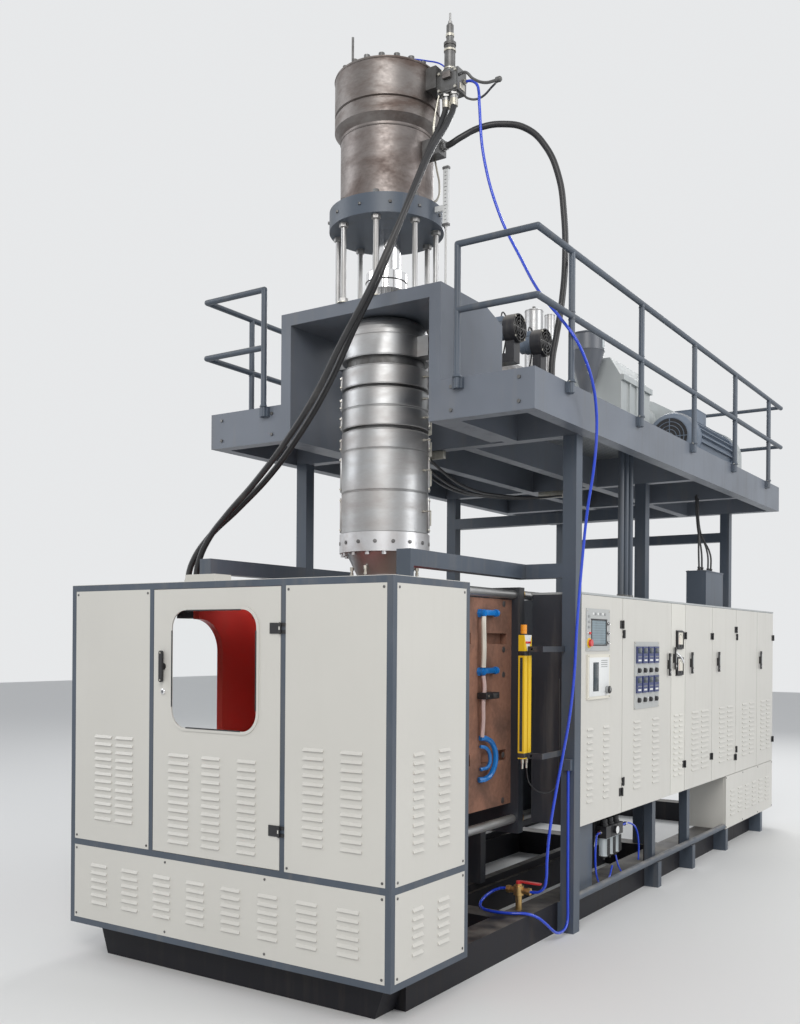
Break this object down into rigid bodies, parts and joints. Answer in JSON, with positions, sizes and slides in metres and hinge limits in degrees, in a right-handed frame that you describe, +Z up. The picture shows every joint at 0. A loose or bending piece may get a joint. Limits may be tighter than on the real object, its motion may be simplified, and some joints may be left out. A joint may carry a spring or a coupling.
{
  "type": "blow moulding machine",
  "caption": "Extrusion blow moulding machine: accumulator head on a railed platform, sliding mould clamp behind a guard with a door, and a row of control cabinets.",
  "frame": {"origin": "on the floor, straight under the head's vertical axis", "axes": "+X to the operator's right, +Y along the machine away from the front guard, +Z up"},
  "size_m": [2.291, 6.045, 5.102],
  "materials": {
    "panel_enamel": "satin",
    "frame_paint": "satin",
    "base_paint": "satin",
    "red_paint": "satin",
    "bright_steel": "satin",
    "bare_steel": "satin",
    "chrome_rod": "polished",
    "dark_steel": "satin",
    "mould_steel": "matt",
    "black_plastic": "matt",
    "red_plastic": "gloss",
    "clear_pane": "clear",
    "grey_plate": "satin",
    "machine_grey": "satin",
    "motor_paint": "satin",
    "deck_steel": "satin",
    "hose_rubber": "matt",
    "air_hose_blue": "gloss",
    "yellow_paint": "satin",
    "scale_white": "matt"
  },
  "bodies": {
    "machine": {"base_frame": "base_paint", "platform_columns": "frame_paint", "guard_frame": "frame_paint", "guard_panels": "panel_enamel", "hinges": "black_plastic", "control_carcass": "grey_plate", "lower_cabinet": "panel_enamel", "platform_frame": "frame_paint", "platform_deck": "deck_steel", "railings": "frame_paint", "portal_frame": "frame_paint", "head_body": "bare_steel", "head_heaters": "bright_steel", "die_flange": "dark_steel", "tie_rods": "bright_steel", "push_cylinder": "bare_steel", "cylinder_cap": "bare_steel", "position_scale": "scale_white", "valve_block": "dark_steel", "extruder_barrel": "dark_steel", "barrel_cover": "bright_steel", "blower_housings": "base_paint", "hopper": "motor_paint", "gearbox": "machine_grey", "drive_motor": "motor_paint", "blow_pin_base": "dark_steel", "light_curtain": "yellow_paint", "air_service_unit": "dark_steel", "pressure_hose": "hose_rubber", "return_hose": "hose_rubber", "side_hose": "hose_rubber", "air_hose": "air_hose_blue", "floor_hose": "air_hose_blue"},
    "guard_door": {"guard_door": "panel_enamel", "guard_window": "clear_pane"},
    "guard_handle": {"guard_door_handle": "black_plastic"},
    "control_door_1": {"control_door_1": "panel_enamel", "operator_panels": "grey_plate"},
    "control_door_2": {"control_door_2": "panel_enamel", "heat_controllers": "grey_plate"},
    "control_door_3": {"control_door_3": "panel_enamel"},
    "control_door_4": {"control_door_4": "panel_enamel"},
    "control_door_5": {"control_door_5": "panel_enamel"},
    "control_door_6": {"control_door_6": "panel_enamel"},
    "control_door_7": {"control_door_7": "panel_enamel"},
    "stop_button": {"emergency_stop": "red_plastic"},
    "ram": {"push_ram": "chrome_rod"},
    "core": {"die_core": "chrome_rod"},
    "screw": {"extruder_screw": "bright_steel"},
    "fan_1": {"blower_fan_1": "base_paint"},
    "fan_2": {"blower_fan_2": "base_paint"},
    "hopper_lid": {"hopper_lid": "motor_paint"},
    "clamp_front": {"front_platen": "red_paint", "front_mould": "mould_steel", "tie_bars": "chrome_rod", "clamp_cylinder": "frame_paint"},
    "clamp_rear": {"rear_platen": "base_paint", "rear_mould": "mould_steel"},
    "blow_pin": {"blow_pin": "chrome_rod"},
    "valve_handle": {"valve_handle": "red_paint"}
  },
  "joints": [
    {"name": "guard_door_swing", "type": "hinge", "parent": "machine", "child": "guard_door", "pos_m": [0.395, -1.381, 1.21], "axis": [0, 0, 1], "range_deg": [0, 110]},
    {"name": "guard_handle_turn", "type": "hinge", "parent": "guard_door", "child": "guard_handle", "pos_m": [-0.328, -1.372, 1.475], "axis": [0, 1, 0], "range_deg": [0, 90]},
    {"name": "control_door_1_swing", "type": "hinge", "parent": "machine", "child": "control_door_1", "pos_m": [0.994, 1.103, 1.21], "axis": [0, 0, 1], "range_deg": [0, 84]},
    {"name": "control_door_2_swing", "type": "hinge", "parent": "machine", "child": "control_door_2", "pos_m": [0.994, 1.117, 1.21], "axis": [0, 0, -1], "range_deg": [0, 84]},
    {"name": "control_door_3_swing", "type": "hinge", "parent": "machine", "child": "control_door_3", "pos_m": [0.994, 2.263, 1.21], "axis": [0, 0, 1], "range_deg": [0, 110]},
    {"name": "control_door_4_swing", "type": "hinge", "parent": "machine", "child": "control_door_4", "pos_m": [0.994, 2.878, 1.21], "axis": [0, 0, 1], "range_deg": [0, 110]},
    {"name": "control_door_5_swing", "type": "hinge", "parent": "machine", "child": "control_door_5", "pos_m": [0.994, 3.498, 1.21], "axis": [0, 0, 1], "range_deg": [0, 88]},
    {"name": "control_door_6_swing", "type": "hinge", "parent": "machine", "child": "control_door_6", "pos_m": [0.994, 3.512, 1.21], "axis": [0, 0, -1], "range_deg": [0, 88]},
    {"name": "control_door_7_swing", "type": "hinge", "parent": "machine", "child": "control_door_7", "pos_m": [0.994, 4.633, 1.21], "axis": [0, 0, 1], "range_deg": [0, 110]},
    {"name": "stop_button_press", "type": "slide", "parent": "control_door_1", "child": "stop_button", "axis": [-1, 0, 0], "range_m": [0, 0.005], "stiffness_N_per_m": 400},
    {"name": "ram_lift", "type": "slide", "parent": "machine", "child": "ram", "axis": [0, 0, 1], "range_m": [0, 0.2]},
    {"name": "core_lift", "type": "slide", "parent": "machine", "child": "core", "axis": [0, 0, 1], "range_m": [0, 0.02]},
    {"name": "screw_turn", "type": "hinge", "parent": "machine", "child": "screw", "pos_m": [0, 0.6, 3.36], "axis": [0, 1, 0], "continuous": true},
    {"name": "fan_1_turn", "type": "hinge", "parent": "machine", "child": "fan_1", "pos_m": [0.29, 0.99, 3.575], "axis": [1, 0, 0], "continuous": true},
    {"name": "fan_2_turn", "type": "hinge", "parent": "machine", "child": "fan_2", "pos_m": [0.29, 1.37, 3.575], "axis": [1, 0, 0], "continuous": true},
    {"name": "hopper_lid_open", "type": "hinge", "parent": "machine", "child": "hopper_lid", "pos_m": [0, 2.958, 4.024], "axis": [-1, 0, 0], "range_deg": [0, 75]},
    {"name": "front_platen_open", "type": "slide", "parent": "machine", "child": "clamp_front", "axis": [0, -1, 0], "range_m": [0, 0.27]},
    {"name": "rear_platen_open", "type": "slide", "parent": "machine", "child": "clamp_rear", "axis": [0, 1, 0], "range_m": [0, 0.27]},
    {"name": "blow_pin_drop", "type": "slide", "parent": "machine", "child": "blow_pin", "axis": [0, 0, -1], "range_m": [0, 0.15]},
    {"name": "valve_turn", "type": "hinge", "parent": "machine", "child": "valve_handle", "pos_m": [0.79, 0.145, 0.31], "axis": [0, 0, 1], "range_deg": [0, 90]}
  ],
  "couplings": [
    {"joint": "rear_platen_open", "follows": "front_platen_open", "ratio": 1}
  ]
}
